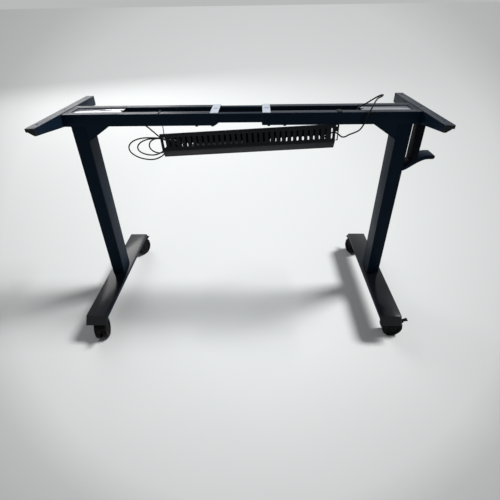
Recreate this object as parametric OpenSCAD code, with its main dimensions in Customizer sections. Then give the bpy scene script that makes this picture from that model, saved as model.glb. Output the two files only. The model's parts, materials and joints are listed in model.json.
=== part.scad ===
// Height-adjustable desk frame on two telescoping legs, shown at its lowest height.
// Millimetres. The floor is z = 0, +X is to the right, +Y is to the rear.
// Inside the modules x is counted from the middle between the columns and y from the
// front face of the front rail; the whole frame is then set over the origin.

/* [Frame] */
// Height of the faces that carry the desktop, legs fully down
frame_h = 786; // [760:2:860]
// Distance between the centres of the two columns
column_pitch = 1120; // [1090:10:1240]
// Depth over the two cross rails
rails_depth = 127; // [122:1:160]

/* [Rails] */
// Depth of an outer rail
rail_w = 30; // [28:1:34]
// Height of an outer rail
rail_h = 40; // [38:1:50]
// Wall of the rails
rail_wall = 2; // [1.5:0.5:3]
// Height of an inner rail
inner_rail_h = 29; // [24:1:30]
// Room between an inner rail's end and the head that stops it
rail_stop_gap = 2; // [1:0.5:6]
// Distance of an outer rail's inner end from the middle of the frame
rail_end_x = 75; // [60:1:120]
// Cut across the lower corner of the left rails' inner ends
rail_bevel = 12; // [8:1:14]
// Running gap between the outer rail and what slides in it
slide_gap = 0.3; // [0.2:0.1:0.5]
// Width of a cross plate
cross_plate_w = 27; // [22:1:40]
// Thickness of a cross plate
cross_plate_t = 2; // [1.5:0.5:3]
// Length of the screw slot in a cross plate
plate_slot_l = 16; // [12:1:20]
// Width of the screw slot in a cross plate
plate_slot_w = 5.5; // [5:0.5:7]
// Diameter of the clamp screws
clamp_screw_d = 6; // [5:1:8]
// Height of a clamp screw's head
clamp_head_h = 6; // [4:1:8]
// Distance between the two clamp screws of a rail
clamp_pitch = 55; // [45:1:70]

/* [Heads] */
// Length of a head over its column
head_l = 195; // [185:1:210]
// Sheet thickness of a head
head_wall = 3; // [2.5:0.5:4]
// Length of the gusset along the rail
gusset_l = 83; // [70:1:95]
// Depth of the gusset below the rail
gusset_h = 53; // [40:1:70]
// Width of the ridged strip between cover plate and arm
ridge_strip_w = 19; // [16:1:24]
// Number of ventilation slots in the ridged strip
vent_count = 10; // [6:1:12]
// Thickness of a cover plate
cover_t = 2; // [1.5:0.5:2.5]
// How far a cover plate reaches under the flanges
cover_lap = 4; // [3:1:6]

/* [Arms] */
// Width of an arm
arm_w = 30; // [26:1:36]
// Length of an arm's steel channel
arm_l = 462; // [420:2:540]
// Depth of an arm where it is bolted to the head
arm_h = 42; // [38:1:50]
// Depth of an arm at its front tip
arm_tip_h = 22; // [18:1:28]
// Depth of an arm at its rear tip
arm_rear_h = 34; // [24:1:40]
// Depth of the arm's outer lip
arm_lip_h = 11; // [8:1:16]
// Sheet thickness of an arm
arm_wall = 2.5; // [2:0.5:3]
// Length of an end cap inside the steel
plug_l = 22; // [16:1:30]
// Thickness of the end cap's face
arm_cap_t = 3; // [2:0.5:5]
// Diameter of the desktop screw holes
desk_hole_d = 7; // [6:0.5:9]
// Distance between neighbouring desktop screw holes
desk_hole_pitch = 190; // [160:5:215]
// Diameter of the arm bolts
arm_bolt_d = 6; // [5:1:8]

/* [Columns] */
// Width of a column, left to right
column_w = 50; // [48:1:60]
// Depth of a column, front to rear
column_d = 80; // [74:1:90]
// Wall of the column tubes
column_wall = 2; // [1.5:0.5:3]
// Outer corner radius of the column tubes
column_r = 4; // [3:0.5:6]
// Thickness of the glides between the tubes
glide_t = 2.7; // [2:0.1:4]
// Height of the glide collar below the outer tube
collar_h = 3; // [2:0.5:6]
// Room between an inner column's top and the gearbox at rest
inner_column_play = 45; // [30:1:60]
// Thickness of the plate under the inner column
base_plate_t = 4; // [3:0.5:6]

/* [Drive] */
// Diameter of the motor
motor_d = 30; // [26:1:31]
// Length of the motor
motor_l = 105; // [80:1:108]
// Diameter of the lifting spindle
spindle_d = 14; // [12:1:18]
// Height of the spindle's lower end over the base plate at rest
spindle_low_gap = 79; // [65:1:95]
// Diameter of the spindle nut
nut_d = 30; // [26:1:34]
// Height of the spindle nut
nut_h = 22; // [18:1:30]

/* [Feet] */
// Length of a foot's steel channel
foot_l = 586; // [540:2:680]
// Width of a foot
foot_w = 80; // [76:1:100]
// Plate thickness of a foot
foot_t = 3; // [2.5:0.5:4]
// Depth of a foot's side lips
foot_lip = 14; // [12:1:20]
// How far a foot reaches in front of the front rail
foot_front = 265; // [240:1:300]
// Reach of a foot's end cap
nose_l = 25; // [20:1:32]
// Height of a foot's end cap
nose_h = 29; // [24:1:29]

/* [Castors] */
// Diameter of the castor wheels
wheel_d = 75; // [70:1:76]
// Width of one wheel
wheel_w = 17; // [14:1:19]
// Gap between the two wheels of a castor
wheel_gap = 10; // [9:1:12]
// Height of a castor from the floor to the foot
castor_h = 105; // [104:1:112]
// Offset of the wheels behind the swivel axis
castor_trail = 20; // [16:1:24]
// Distance of a swivel axis from the end of the foot's steel
castor_inset = 22; // [22:1:30]
// Diameter of the wheel axle
axle_d = 8; // [7:1:10]

/* [Cable tray] */
// Length of the tray
tray_l = 624; // [560:4:640]
// Depth of the tray, front to rear
tray_d = 80; // [74:1:84]
// Height of the tray's perforated walls
tray_wall_h = 62; // [56:1:66]
// Height of the sloping part under the walls
tray_slope_h = 27; // [20:1:32]
// Sheet thickness of the tray
tray_t = 1.5; // [1.2:0.1:2]
// Number of slots in a wall
slot_count = 31; // [24:1:31]
// Length of a slot
slot_l = 37; // [30:1:42]
// Width of a slot
slot_w = 7.5; // [6:0.5:9]
// How much the tray hangs down to the left, in degrees
tray_tilt = 2.8; // [2:0.1:3.4]

/* [Side hook] */
// Width of the hanger, left to right
hanger_w = 19; // [16:1:24]
// Depth of the hanger and the hook
hanger_d = 58; // [50:1:66]
// Thickness of the hook bar
hook_t = 15; // [12:1:18]
// Reach of the hook past the column
hook_reach = 97; // [80:1:110]

/* [Hidden] */

// Colours of the finishes
black_coat = [0.10, 0.12, 0.16];
tray_coat = [0.13, 0.14, 0.17];
plate_grey = [0.62, 0.66, 0.72];
black_plastic = [0.07, 0.07, 0.08];
bare_steel = [0.60, 0.60, 0.62];
nylon_white = [0.86, 0.85, 0.80];
cable_black = [0.05, 0.05, 0.06];

// Fineness of round shapes
round_fn = 40;
small_fn = 24;
// Overrun of a cut past the face that it opens
cut = 1;

// Where the origin lies from the middle of the frame: under the middle of its outline
side_clear = 22;
origin_x = (hook_reach + hook_t / 2 - side_clear - arm_w) / 2;
origin_y = 26.69;

// Heights
rail_top = frame_h - cross_plate_t;
rail_bottom = rail_top - rail_h;
foot_top = castor_h + foot_t;
column_bottom = foot_top + base_plate_t + collar_h + slide_gap;
column_top = rail_bottom;
column_l = column_top - column_bottom;

// Across the frame
column_x = column_pitch / 2;
column_y = column_d / 2;
arm_x = column_x + column_w / 2 + side_clear;
head_in_x = arm_x - head_l;
cover_in_x = head_in_x + cover_lap;
cover_out_x = arm_x - ridge_strip_w;
rear_rail_y = rails_depth - rail_w;

// Inner rails
inner_rail_w = rail_w - 2 * rail_wall - 2 * slide_gap;
inner_rail_top = rail_top - rail_wall - slide_gap;
inner_rail_bottom = inner_rail_top - inner_rail_h;
inner_rail_l = 2 * (head_in_x - rail_stop_gap);

// Clamp screws
clamp_x_in = 22;
clamp_x = rail_end_x + clamp_x_in;
clamp_head_d = 1.7 * clamp_screw_d;
clamp_clear = 0.2;
weld_nut_d = 2 * clamp_screw_d;
weld_nut_h = 0.8 * clamp_screw_d;

// Heads, motors and gearboxes
cover_top = rail_top - head_wall;
drive_top = cover_top - cover_t - 2 * slide_gap;
drive_floor = rail_bottom + head_wall;
gearbox_w = 50;
gearbox_d = 56;
motor_y = 62;
motor_boss_l = 5;
vent_l = 0.62 * ridge_strip_w;
vent_w = 3.2;
running = 0.05;
journal_d = 0.72 * spindle_d;
journal_h = 18;
inner_column_top = drive_floor - inner_column_play;
inner_column_l = inner_column_top - foot_top - base_plate_t;
spindle_l = drive_floor - foot_top - base_plate_t - spindle_low_gap;

// Arms
arm_mid_y = rails_depth / 2 - 1.5 * head_wall + 3;
arm_front_y = arm_mid_y - arm_l / 2;
arm_rear_y = arm_mid_y + arm_l / 2;
arm_flat_l = rails_depth;
bolt_head_d = 1.8 * arm_bolt_d;
bolt_head_h = 0.65 * arm_bolt_d;
bolt_inset_y = 20;
bolt_low_z = drive_floor + bolt_head_d / 2 + slide_gap;
bolt_high_z = rail_top - head_wall - bolt_head_d / 2 - slide_gap;

// Columns
inner_w = column_w - 2 * column_wall - 2 * glide_t - 2 * slide_gap;
inner_d = column_d - 2 * column_wall - 2 * glide_t - 2 * slide_gap;
inner_r = column_r - column_wall / 2;
glide_h = 45;
guide_h = 30;
guide_cap = 2;

// Feet
foot_rear = foot_l - foot_front;
stiffener_l = 0.42 * foot_l;
stiffener_t = 0.6 * foot_lip;
nose_bevel = 0.2 * nose_l;
nose_skirt = 0.25 * nose_h;

// Castors
wheel_r = wheel_d / 2;
castor_w = 2 * wheel_w + wheel_gap;
fender_gap = 0.9;
fender_t = 1.6;
fender_r = wheel_r + fender_gap + fender_t;
mount_t = 3;
king_d = 10;
king_l = 22;
neck_d = 24;
neck_top = castor_h - mount_t - slide_gap;
mount_w = 0.53 * foot_w;
mount_screw_d = 7;
mount_screw_h = 2.5;
front_castor_y = castor_inset - foot_front;
rear_castor_y = foot_rear - castor_inset;
pedal_angle = 32;
pedal_hinge_r = fender_r + 3.6;
pedal_l = 19;
pedal_w = 15;
pin_d = 3;
web_t = wheel_gap - 2 * slide_gap;
// Turn of each castor at rest, in degrees from pointing to the right
left_front_turn = -78;
right_front_turn = 0;
left_rear_turn = 68;
right_rear_turn = 112;

// Cable tray and what is in it
strap_t = 2;
tray_y = rail_w + slide_gap + strap_t;
strap_w = 16;
tray_right_x = 331;
tray_left_x = tray_right_x - tray_l;
tray_drop = 49.5;
tray_slope_d = 0.25 * tray_d;
hem_w = 6;
rear_slot_l = 0.68 * slot_l;
rear_slot_z = -tray_wall_h - tray_slope_h + tray_t + 2 + rear_slot_l / 2;
slot_pitch = tray_l / (slot_count + 0.4);
strap_slot_w = 7.5;
strap_slot_l = 30;
strap_hole_d = 5;
wire_d = 3;
box_l = 190;
box_d = 36;
box_h = 34;
box_x = -92;
box_floor = -tray_wall_h - tray_slope_h + tray_t;
gland_l = 5;
gland_d = 9;
gland_z = 20;

// Side hook
hanger_x = arm_x + arm_wall;
rail_bottom_gap = frame_h - arm_h - rail_bottom;
hook_root_drop = 160;
hook_tip_drop = 117;

// Cords: diameter, sides and the points that they follow, chosen by hand.
// x from the middle of the frame, y from the front rail, z from the desktop plane.
lead_d = 5;
lead_sides = 8;
left_lead_route = [
    [-425, 62, -23], [-415, 62, -23], [-400, 62, -21], [-385, 60, -25], [-368, 57, -36],
    [-350, 54, -49], [-334, 52, -60], [-318, 52, -75], [-304, 54, -90],
    [-290, 58, -104], [-277, 62, -110], [-264, 64, -112]
];
right_lead_route = [
    [425, 62, -23], [418, 62, -23], [408, 62, -19], [406, 66, -10], [418, 70, 1],
    [434, 69, 10], [450, 64, 22], [464, 57, 33], [474, 50, 40], [478.5, 44, 42.5],
    [477, 38, 41], [470, 34, 38], [459, 28, 34], [448, 14, 26], [438, 0, 14],
    [429, -8, 0], [422, -10, -18], [415, -10, -40], [405, -8, -58], [390, -5, -68],
    [374, 2, -77], [363, 9, -86], [354, 20, -90], [348.5, 32, -88], [341, 42, -84], [328, 48, -82],
    [310, 54, -92], [290, 62, -112], [268, 68, -127], [240, 71, -137], [200, 72, -140],
    [150, 72, -142], [100, 72, -145], [60, 72, -146], [38, 72, -142]
];
joint_out = [-264, 64, -112];
joint_in = [-238, 64, -116];
coil_start = [
    joint_in, [-226, 64, -118], [-213, 61, -125], [-209, 58, -137], [-217, 56, -148],
    [-234, 56, -152], [-252, 57, -151], [-270, 60, -153]
];
coil_end = [[-276, 78, -111], [-258, 76, -122], [-240, 74, -133], [-220, 73, -140]];
// Each turn of the coil: middle x, middle z, half length, half height, y
coil_turns = [
    [-350, -143, 76, 43, 63],
    [-346, -136, 72, 33, 69],
    [-312, -136, 38, 27, 75],
    [-310, -134, 36, 26, 81]
];
coil_steps = 20;
coil_first = -35;
coil_sweep = 970;
coil_lift = 16;

// A piece set over the origin
module placed() translate([-origin_x, -origin_y, 0]) children();
// The right-hand and the left-hand copy of a piece that is drawn for the right
module on_right() placed() children();
module on_left() placed() mirror([1, 0, 0]) children();

// A rectangle with rounded corners, centred
module rounded_rect(w, d, r) {
    square([w - 2 * r, d], center = true);
    square([w, d - 2 * r], center = true);
    for (sx = [-1, 1], sy = [-1, 1])
        translate([sx * (w / 2 - r), sy * (d / 2 - r)]) circle(r = r, $fn = small_fn);
}

// A rectangular tube along Z
module column_tube(w, d, wall, r, l) {
    linear_extrude(l) difference() {
        rounded_rect(w, d, r);
        rounded_rect(w - 2 * wall, d - 2 * wall, r - wall / 2);
    }
}

// A slot with round ends along Y, as a flat shape
module slot_shape(l, w) {
    square([w, l - w], center = true);
    for (s = [-1, 1]) translate([0, s * (l - w) / 2]) circle(d = w, $fn = small_fn);
}

// Rails
module inner_rail(y) {
    color(black_coat) translate([-inner_rail_l / 2, y, inner_rail_bottom]) difference() {
        cube([inner_rail_l, inner_rail_w, inner_rail_h]);
        translate([-cut, rail_wall, rail_wall])
            cube([inner_rail_l + 2 * cut, inner_rail_w - 2 * rail_wall, inner_rail_h - 2 * rail_wall]);
    }
}

module outer_rail(y, bevel) {
    rail_l = head_in_x - rail_end_x;
    color(black_coat) difference() {
        union() {
            translate([rail_end_x, y, rail_bottom]) difference() {
                cube([rail_l, rail_w, rail_h]);
                translate([-cut, rail_wall, rail_wall])
                    cube([rail_l + 2 * cut, rail_w - 2 * rail_wall, rail_h - 2 * rail_wall]);
            }
            for (i = [0, 1]) translate([clamp_x + i * clamp_pitch, y + rail_w / 2, rail_bottom])
                cylinder(d = weld_nut_d, h = rail_wall + weld_nut_h, $fn = small_fn);
        }
        for (i = [0, 1]) translate([clamp_x + i * clamp_pitch, y + rail_w / 2, rail_bottom - cut])
            cylinder(d = clamp_screw_d + 2 * running, h = rail_wall + weld_nut_h + 2 * cut, $fn = small_fn);
        if (bevel > 0) translate([rail_end_x, y - cut, rail_bottom])
            rotate([-90, 0, 0]) linear_extrude(rail_w + 2 * cut)
                polygon([[-cut, cut], [-cut, -bevel * 0.7], [0, -bevel * 0.7], [bevel, 0], [bevel, cut]]);
    }
}

module cross_plate() {
    color(plate_grey) translate([rail_end_x, 0, rail_top]) difference() {
        cube([cross_plate_w, rails_depth, cross_plate_t]);
        translate([cross_plate_w / 2, rails_depth / 2, -cut])
            linear_extrude(cross_plate_t + 2 * cut)
                rotate(90) slot_shape(plate_slot_l, plate_slot_w);
    }
}

// Head: folded tray that carries the drive, with the box gusset down to the column
module head() {
    color(black_coat) {
        difference() {
            translate([head_in_x, 0, rail_bottom]) cube([head_l, rails_depth, rail_h]);
            translate([head_in_x - cut, head_wall, drive_floor])
                cube([head_l + cut - head_wall, rails_depth - 2 * head_wall, rail_h - 2 * head_wall]);
            translate([head_in_x - cut, rail_w, drive_floor])
                cube([cover_out_x - head_in_x + cut, rear_rail_y - rail_w, rail_h]);
            for (i = [0 : vent_count - 1])
                translate([cover_out_x + ridge_strip_w / 2 - head_wall / 2, vent_y(i), cover_top - cut])
                    linear_extrude(head_wall + 2 * cut) rotate(90) slot_shape(vent_l, vent_w);
            translate([column_x, column_y, rail_bottom - cut])
                cylinder(d = nut_d + 2, h = head_wall + 2 * cut, $fn = round_fn);
            arm_bolt_places() cylinder(d = arm_bolt_d + 0.6, h = 2 * arm_bolt_d, center = true, $fn = small_fn);
        }
        gusset();
    }
}
function vent_y(i) = rail_w / 2 + (rails_depth - rail_w) * (i + 0.5) / vent_count;

module gusset() {
    corner_x = column_x - column_w / 2;
    for (y = [0, column_d - head_wall]) translate([0, y + head_wall, 0]) rotate([90, 0, 0])
        linear_extrude(head_wall) polygon([
            [corner_x, rail_bottom], [corner_x, rail_bottom - gusset_h],
            [corner_x - gusset_l, rail_bottom]
        ]);
    slope = atan2(gusset_h, gusset_l);
    thick_x = head_wall / sin(slope);
    thick_z = head_wall / cos(slope);
    translate([0, column_d, 0]) rotate([90, 0, 0]) linear_extrude(column_d) polygon([
        [corner_x, rail_bottom - gusset_h], [corner_x, rail_bottom - gusset_h + thick_z],
        [corner_x - gusset_l + thick_x, rail_bottom], [corner_x - gusset_l, rail_bottom]
    ]);
}

module arm_bolt_places() {
    for (y = [bolt_inset_y, rails_depth - bolt_inset_y], z = [bolt_low_z, bolt_high_z])
        translate([arm_x, y, z]) rotate([0, 90, 0]) children();
}

module cover_plate() {
    notch = 2 * lead_d;
    color(plate_grey) translate([cover_in_x, rail_w - cover_lap, cover_top - cover_t]) difference() {
        cube([cover_out_x - cover_in_x + cover_lap, rear_rail_y - rail_w + 2 * cover_lap, cover_t]);
        translate([-cut, (rear_rail_y - rail_w) / 2 + cover_lap - notch / 2, -cut])
            cube([notch + cut, notch, cover_t + 2 * cut]);
    }
}

module motor() {
    motor_x = column_x - gearbox_w / 2 - motor_l;
    axis_z = (drive_floor + drive_top) / 2;
    color(bare_steel) translate([motor_x, motor_y, axis_z]) rotate([0, 90, 0]) difference() {
        union() {
            cylinder(d = motor_d, h = motor_l, $fn = round_fn);
            translate([0, 0, -motor_boss_l])
                cylinder(d = 0.4 * motor_d, h = motor_boss_l + cut, $fn = small_fn);
        }
        translate([0, 0, 0.2 * motor_l]) difference() {
            cylinder(d = motor_d + cut, h = 0.02 * motor_l, $fn = round_fn);
            cylinder(d = motor_d - cut, h = 0.02 * motor_l, $fn = round_fn);
        }
    }
}

module gearbox() {
    color(black_plastic) difference() {
        union() {
            translate([column_x - gearbox_w / 2, column_y - gearbox_d / 2, drive_floor])
                cube([gearbox_w, gearbox_d, 0.45 * (drive_top - drive_floor)]);
            translate([column_x, column_y, drive_floor])
                cylinder(d = gearbox_w - 2, h = drive_top - drive_floor, $fn = round_fn);
            translate([column_x - gearbox_w / 2, motor_y, (drive_floor + drive_top) / 2])
                rotate([0, 90, 0]) cylinder(d = motor_d - 1, h = gearbox_w, $fn = round_fn);
        }
        translate([column_x, column_y, drive_floor - cut])
            cylinder(d = journal_d + 2 * running, h = journal_h + cut, $fn = round_fn);
    }
}

module screws() {
    color(bare_steel) {
        for (y = [0, rear_rail_y], i = [0, 1])
            translate([clamp_x + i * clamp_pitch, y + rail_w / 2, rail_bottom - clamp_head_h]) {
                cylinder(d = clamp_head_d, h = clamp_head_h, $fn = small_fn);
                cylinder(d = clamp_screw_d, h = clamp_head_h + inner_rail_bottom - rail_bottom - slide_gap,
                    $fn = small_fn);
            }
        arm_bolt_places() {
            translate([0, 0, arm_wall]) cylinder(d = bolt_head_d, h = bolt_head_h, $fn = 6);
            translate([0, 0, -head_wall - bolt_head_h]) cylinder(d = arm_bolt_d,
                h = head_wall + arm_wall + 2 * bolt_head_h, $fn = small_fn);
        }
    }
}

// Arm: folded channel with a deep inner wall and a shallow outer lip
module arm_wall_outline(tip_h, mid_h, rear_h) {
    polygon([
        [arm_front_y, 0], [arm_rear_y, 0], [arm_rear_y, -rear_h],
        [arm_mid_y + arm_flat_l / 2, -mid_h], [arm_mid_y - arm_flat_l / 2, -mid_h], [arm_front_y, -tip_h]
    ]);
}

module along_arm(x, t) {
    translate([x, 0, frame_h]) rotate([90, 0, 90]) linear_extrude(t) children();
}

module arm() {
    color(black_coat) difference() {
        union() {
            along_arm(arm_x, arm_wall) arm_wall_outline(arm_tip_h, arm_h, arm_rear_h);
            along_arm(arm_x + arm_w - arm_wall, arm_wall) arm_wall_outline(arm_lip_h, arm_lip_h, arm_lip_h);
            translate([arm_x, arm_front_y, frame_h - arm_wall]) cube([arm_w, arm_l, arm_wall]);
        }
        desk_hole_places() cylinder(d = desk_hole_d, h = 3 * arm_wall, center = true, $fn = small_fn);
        arm_bolt_places() cylinder(d = arm_bolt_d + 0.6, h = 3 * arm_bolt_d, center = true, $fn = small_fn);
    }
}

module desk_hole_places() {
    for (i = [-1, 0, 1]) translate([arm_x + arm_w / 2, arm_mid_y + i * desk_hole_pitch, frame_h]) children();
}

// End caps: a hollow plug in the channel and a face that closes the channel's end
module arm_cap(tip_h) {
    color(black_plastic) {
        translate([arm_x, arm_front_y, frame_h]) rotate([90, 0, 0]) linear_extrude(arm_cap_t) polygon([
            [0, 0], [arm_w, 0], [arm_w, -arm_lip_h], [0.8 * arm_w, -arm_lip_h],
            [0.25 * arm_w, -tip_h], [0, -tip_h]
        ]);
        translate([arm_x + arm_wall + slide_gap, arm_front_y, frame_h - arm_wall - slide_gap])
            rotate([-90, 0, 0]) linear_extrude(plug_l) difference() {
                square([arm_w - 2 * arm_wall - 2 * slide_gap, arm_lip_h - arm_wall - slide_gap]);
                translate([arm_wall, arm_wall])
                    square([arm_w - 4 * arm_wall - 2 * slide_gap, arm_lip_h]);
            }
    }
}

module arm_caps() {
    arm_cap(arm_tip_h);
    translate([0, 2 * arm_mid_y, 0]) mirror([0, 1, 0]) arm_cap(arm_rear_h);
}

// Columns
module outer_column() {
    color(black_coat) translate([column_x, column_y, column_bottom])
        column_tube(column_w, column_d, column_wall, column_r, column_l);
}

module glides() {
    color(nylon_white) translate([column_x, column_y, column_bottom]) {
        difference() {
            union() {
                translate([0, 0, -collar_h])
                    linear_extrude(collar_h) rounded_rect(column_w, column_d, column_r);
                linear_extrude(glide_h) rounded_rect(column_w - 2 * column_wall,
                    column_d - 2 * column_wall, column_r - column_wall / 2);
            }
            translate([0, 0, -collar_h - cut]) linear_extrude(glide_h + collar_h + 2 * cut)
                rounded_rect(inner_w + 2 * slide_gap, inner_d + 2 * slide_gap, inner_r);
        }
    }
}

module inner_column() {
    nut_seat_h = 6;
    color(black_coat) translate([column_x, column_y, foot_top]) {
        difference() {
            linear_extrude(base_plate_t) rounded_rect(column_w, column_d, column_r);
            translate([0, 0, -cut]) cylinder(d = nut_d, h = base_plate_t + 2 * cut, $fn = round_fn);
        }
        translate([0, 0, base_plate_t])
            column_tube(inner_w, inner_d, column_wall, inner_r, inner_column_l);
        translate([0, 0, base_plate_t + inner_column_l - nut_h - nut_seat_h]) difference() {
            linear_extrude(nut_seat_h)
                rounded_rect(inner_w - column_wall, inner_d - column_wall, inner_r);
            translate([0, 0, -cut])
                cylinder(d = spindle_d + 8, h = nut_seat_h + 2 * cut, $fn = round_fn);
        }
    }
}

module nut_and_guide() {
    color(nylon_white) translate([column_x, column_y, inner_column_top - nut_h]) difference() {
        union() {
            cylinder(d = nut_d, h = nut_h, $fn = round_fn);
            linear_extrude(0.3 * nut_h) rounded_rect(inner_w - 2 * column_wall - 2 * slide_gap,
                inner_d - 2 * column_wall - 2 * slide_gap, inner_r / 2);
        }
        translate([0, 0, -cut]) cylinder(d = spindle_d + 2 * running, h = nut_h + 2 * cut, $fn = round_fn);
    }
    // The guide that caps the inner column and runs in the outer one
    color(nylon_white) translate([column_x, column_y, inner_column_top - guide_h]) difference() {
        linear_extrude(guide_h + guide_cap) rounded_rect(column_w - 2 * column_wall - 2 * slide_gap,
            column_d - 2 * column_wall - 2 * slide_gap, inner_r);
        translate([0, 0, -cut]) linear_extrude(guide_h + cut) rounded_rect(inner_w, inner_d, inner_r);
        cylinder(d = nut_d, h = 2 * guide_h, $fn = round_fn);
    }
}

module spindle() {
    stop_h = 5;
    color(bare_steel) translate([column_x, column_y, drive_floor - spindle_l]) {
        cylinder(d = spindle_d, h = spindle_l - slide_gap, $fn = round_fn);
        cylinder(d = journal_d, h = spindle_l + journal_h - 1, $fn = round_fn);
        cylinder(d = 1.5 * spindle_d, h = stop_h, $fn = round_fn);
    }
}

// Feet
module foot() {
    color(black_coat) {
        difference() {
            translate([column_x - foot_w / 2, -foot_front, foot_top - foot_lip])
                cube([foot_w, foot_l, foot_lip]);
            translate([column_x - foot_w / 2 + foot_t, -foot_front - cut, foot_top - foot_lip - cut])
                cube([foot_w - 2 * foot_t, foot_l + 2 * cut, foot_lip - foot_t + cut]);
        }
        translate([column_x, column_y, castor_h - stiffener_t]) difference() {
            translate([-foot_w / 2 + foot_t, -stiffener_l / 2, 0])
                cube([foot_w - 2 * foot_t, stiffener_l, stiffener_t]);
            for (sx = [-1, 1], sy = [-1, 1])
                translate([sx * column_w / 3.4, sy * column_d / 2.6, -cut])
                    cylinder(d = 14, h = 0.6 * stiffener_t + cut, $fn = small_fn);
        }
    }
}

// End cap of a foot: a bevelled top edge and a sloping nose over the castor
module nose(d) {
    y0 = d > 0 ? foot_rear : -foot_front;
    color(black_plastic) translate([column_x - foot_w / 2, y0, foot_top]) mirror([0, d > 0 ? 1 : 0, 0]) {
        rotate([0, 90, 0]) linear_extrude(foot_w) polygon([
            [0, 0], [0, -0.5 * nose_bevel], [nose_bevel, -nose_bevel], [nose_h, -nose_l],
            [nose_h, -nose_l + foot_t], [nose_skirt, -foot_t], [nose_skirt, 0]
        ]);
        for (x = [0, foot_w - foot_t]) translate([x, 0, 0]) rotate([0, 90, 0])
            linear_extrude(foot_t) polygon([
                [0, 0], [0, -0.5 * nose_bevel], [nose_bevel, -nose_bevel], [nose_h, -nose_l],
                [nose_h, -nose_l + foot_t], [foot_lip, 0]
            ]);
    }
}

module foot_caps() {
    nose(-1);
    nose(1);
}

module castor_mounts() {
    color(bare_steel) for (y = [front_castor_y, rear_castor_y]) translate([column_x, y, 0]) {
        translate([-mount_w / 2, -mount_w / 2, castor_h - mount_t]) cube([mount_w, mount_w, mount_t]);
        translate([0, 0, neck_top - king_l]) cylinder(d = king_d, h = king_l + 2 * slide_gap, $fn = round_fn);
        for (sx = [-1, 1], sy = [-1, 1])
            translate([sx * 0.38 * mount_w, sy * 0.38 * mount_w, castor_h - mount_t - mount_screw_h])
                cylinder(d = mount_screw_d, h = mount_screw_h + cut, $fn = small_fn);
    }
}

// Castors, drawn with the swivel axis on Z and the wheels behind it towards +X
module at_castor(x_side, y, turn) {
    placed() translate([x_side * column_x, y, 0]) rotate([0, 0, turn]) children();
}

module ring_sector(r_out, r_in, w, from, sweep) {
    rotate([90, 0, 0]) rotate([0, 0, from]) rotate_extrude(angle = sweep, $fn = round_fn)
        translate([r_in, -w / 2]) square([r_out - r_in, w]);
}

module castor_fork() {
    color(black_plastic) difference() {
        union() {
            translate([castor_trail, 0, wheel_r]) {
                ring_sector(fender_r, wheel_r + fender_gap, castor_w, 24, 130);
                ring_sector(wheel_r + fender_gap + cut / 2, axle_d / 2 + 1, web_t, 24, 130);
                rotate([90, 0, 0])
                    cylinder(d = 2.6 * axle_d, h = web_t, center = true, $fn = round_fn);
                pedal_ears();
            }
            translate([0, 0, neck_top - king_l - 2]) cylinder(d = neck_d, h = king_l + 2, $fn = round_fn);
            translate([0, 0, neck_top - 4]) cylinder(d = 1.3 * neck_d, h = 4, $fn = round_fn);
            translate([-neck_d / 2, -web_t / 2, wheel_r])
                cube([neck_d / 2, web_t, neck_top - king_l - wheel_r]);
        }
        translate([0, 0, neck_top - king_l - 0.2])
            cylinder(d = king_d + 2 * running, h = king_l + cut, $fn = round_fn);
        translate([castor_trail, 0, wheel_r]) rotate([90, 0, 0])
            cylinder(d = axle_d + 2 * running, h = castor_w, center = true, $fn = round_fn);
        for (s = [-1, 1]) translate([castor_trail, s * (castor_w + web_t) / 4, wheel_r])
            rotate([90, 0, 0]) cylinder(r = wheel_r + fender_gap, h = (castor_w - web_t) / 2 + 0.02,
                center = true, $fn = round_fn);
    }
}

module pedal_ears() {
    for (s = [-1, 1]) rotate([0, -pedal_angle, 0])
        translate([pedal_hinge_r, s * (pedal_w / 2 + 1.2 + slide_gap), 0]) rotate([90, 0, 0]) {
            difference() {
                union() {
                    cylinder(d = 2.4 * pin_d, h = 2.4, center = true, $fn = small_fn);
                    translate([-pedal_hinge_r + fender_r - 0.8, -1.2 * pin_d, -1.2])
                        cube([pedal_hinge_r - fender_r + 0.8, 2.4 * pin_d, 2.4]);
                }
                cylinder(d = pin_d + 2 * running, h = 4, center = true, $fn = small_fn);
            }
        }
}

module castor_wheels() {
    color(cable_black) translate([castor_trail, 0, wheel_r]) rotate([90, 0, 0]) {
        for (s = [-1, 1]) scale([1, 1, s]) translate([0, 0, wheel_gap / 2]) wheel();
        cylinder(d = axle_d, h = wheel_gap + 2, center = true, $fn = round_fn);
    }
}

// One wheel: round-shouldered tread, dished outer face with a hub and a rim groove
module wheel() {
    shoulder = 0.14 * wheel_w;
    rotate_extrude($fn = 64) {
        polygon([
            [0, 0], [wheel_r - shoulder, 0], [wheel_r, shoulder], [wheel_r, wheel_w - 2 * shoulder],
            [wheel_r - shoulder, wheel_w - shoulder / 2], [0.84 * wheel_r, wheel_w],
            [0.74 * wheel_r, wheel_w], [0.70 * wheel_r, wheel_w - shoulder],
            [0.34 * wheel_r, wheel_w - 1.6 * shoulder], [0.30 * wheel_r, wheel_w - shoulder / 3],
            [0, wheel_w - shoulder / 3]
        ]);
    }
}

module castor_pedal() {
    lever_t = 0.9 * pin_d;
    droop = 12;
    color(black_plastic) translate([castor_trail, 0, wheel_r]) rotate([0, -pedal_angle, 0])
        translate([pedal_hinge_r, 0, 0]) rotate([90, 0, 0]) {
            cylinder(d = pin_d, h = pedal_w + 6, center = true, $fn = small_fn);
            cylinder(d = 2 * pin_d, h = pedal_w, center = true, $fn = small_fn);
            rotate(-droop) translate([pin_d / 2 + 0.4, -0.7 * lever_t, -0.45 * pedal_w])
                cube([pedal_l - pin_d / 2, lever_t, 0.9 * pedal_w]);
            rotate(-droop) translate([pedal_l, -0.3 * lever_t, 0])
                cylinder(d = 1.7 * lever_t, h = pedal_w, center = true, $fn = small_fn);
        }
}

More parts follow.
